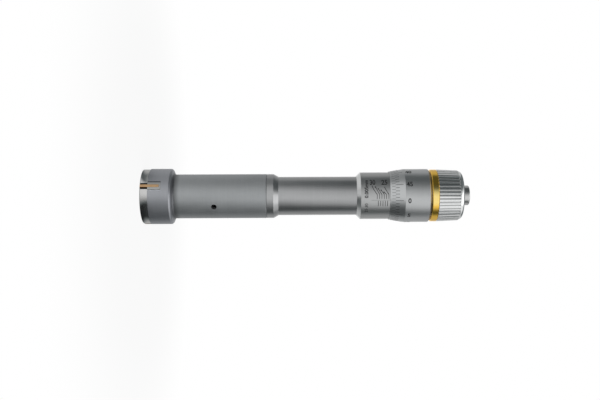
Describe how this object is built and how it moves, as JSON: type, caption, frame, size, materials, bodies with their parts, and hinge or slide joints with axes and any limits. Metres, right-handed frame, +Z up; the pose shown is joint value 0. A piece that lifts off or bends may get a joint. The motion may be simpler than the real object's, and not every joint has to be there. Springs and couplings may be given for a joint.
{
  "type": "three-point inside micrometer",
  "caption": "Inside micrometer with slotted measuring head and hard ridged anvils, stepped barrel, graduated sleeve and thimble, fluted ratchet grip with end button.",
  "frame": {"origin": "centre of the front face of the measuring head, the face that it stands on", "axes": "+Z up along the spindle towards the ratchet; the anvils slide outwards at 8, 128 and 248 degrees about +Z; the index line is at 281.4 degrees"},
  "size_m": [0.0244, 0.0244, 0.1433],
  "materials": {
    "satin_chrome": "satin",
    "polished_steel": "polished",
    "ground_steel": "ground",
    "dark_steel": "blackened",
    "spring_steel": "drawn",
    "gold_coat": "hard gold-coloured coating"
  },
  "bodies": {
    "frame": {"front_cover": "polished_steel", "cover_screws": "dark_steel", "measuring_head": "satin_chrome", "guide_pin": "dark_steel", "return_spring": "spring_steel", "body_tube": "satin_chrome", "main_barrel": "satin_chrome", "graduated_sleeve": "satin_chrome", "adjusting_nut": "ground_steel", "anvil_spring_1": "spring_steel", "anvil_spring_2": "spring_steel", "anvil_spring_3": "spring_steel"},
    "plunger": {"cone_plunger": "ground_steel", "push_rod": "ground_steel", "thrust_ball": "ground_steel"},
    "thimble": {"spindle": "ground_steel", "thimble": "satin_chrome", "ratchet_wheel": "ground_steel", "ratchet_screw": "polished_steel"},
    "grip": {"ratchet_grip": "satin_chrome", "accent_ring": "gold_coat", "ratchet_spring": "spring_steel"},
    "click_ring": {"click_ring": "ground_steel"},
    "anvil_1": {"anvil_1": "ground_steel", "anvil_ridge_1": "gold_coat"},
    "anvil_2": {"anvil_2": "ground_steel", "anvil_ridge_2": "gold_coat"},
    "anvil_3": {"anvil_3": "ground_steel", "anvil_ridge_3": "gold_coat"}
  },
  "joints": [
    {"name": "plunger_feed", "type": "slide", "parent": "frame", "child": "plunger", "axis": [0, 0, -1], "range_m": [0, 0.0055], "deforming": ["return_spring"]},
    {"name": "thimble_turn", "type": "hinge", "parent": "plunger", "child": "thimble", "pos_m": [0, 0, 0.1], "axis": [0, 0, -1], "range_deg": [0, 3960]},
    {"name": "ratchet_turn", "type": "hinge", "parent": "thimble", "child": "grip", "pos_m": [0, 0, 0.13], "axis": [0, 0, -1], "continuous": true},
    {"name": "click_lift", "type": "slide", "parent": "grip", "child": "click_ring", "axis": [0, 0, 1], "range_m": [0, 0.0006], "stiffness_N_per_m": 300, "springref_m": -0.005, "deforming": ["ratchet_spring"]},
    {"name": "anvil_1_slide", "type": "slide", "parent": "frame", "child": "anvil_1", "axis": [0.9903, 0.1392, 0], "range_m": [0, 0.00275], "deforming": ["anvil_spring_1"]},
    {"name": "anvil_2_slide", "type": "slide", "parent": "frame", "child": "anvil_2", "axis": [-0.6157, 0.788, 0], "range_m": [0, 0.00275], "deforming": ["anvil_spring_2"]},
    {"name": "anvil_3_slide", "type": "slide", "parent": "frame", "child": "anvil_3", "axis": [-0.3746, -0.9272, 0], "range_m": [0, 0.00275], "deforming": ["anvil_spring_3"]}
  ],
  "couplings": [
    {"joint": "thimble_turn", "follows": "plunger_feed", "rad_per_m": 12566},
    {"joint": "anvil_1_slide", "follows": "plunger_feed", "ratio": 0.5},
    {"joint": "anvil_2_slide", "follows": "plunger_feed", "ratio": 0.5},
    {"joint": "anvil_3_slide", "follows": "plunger_feed", "ratio": 0.5}
  ]
}
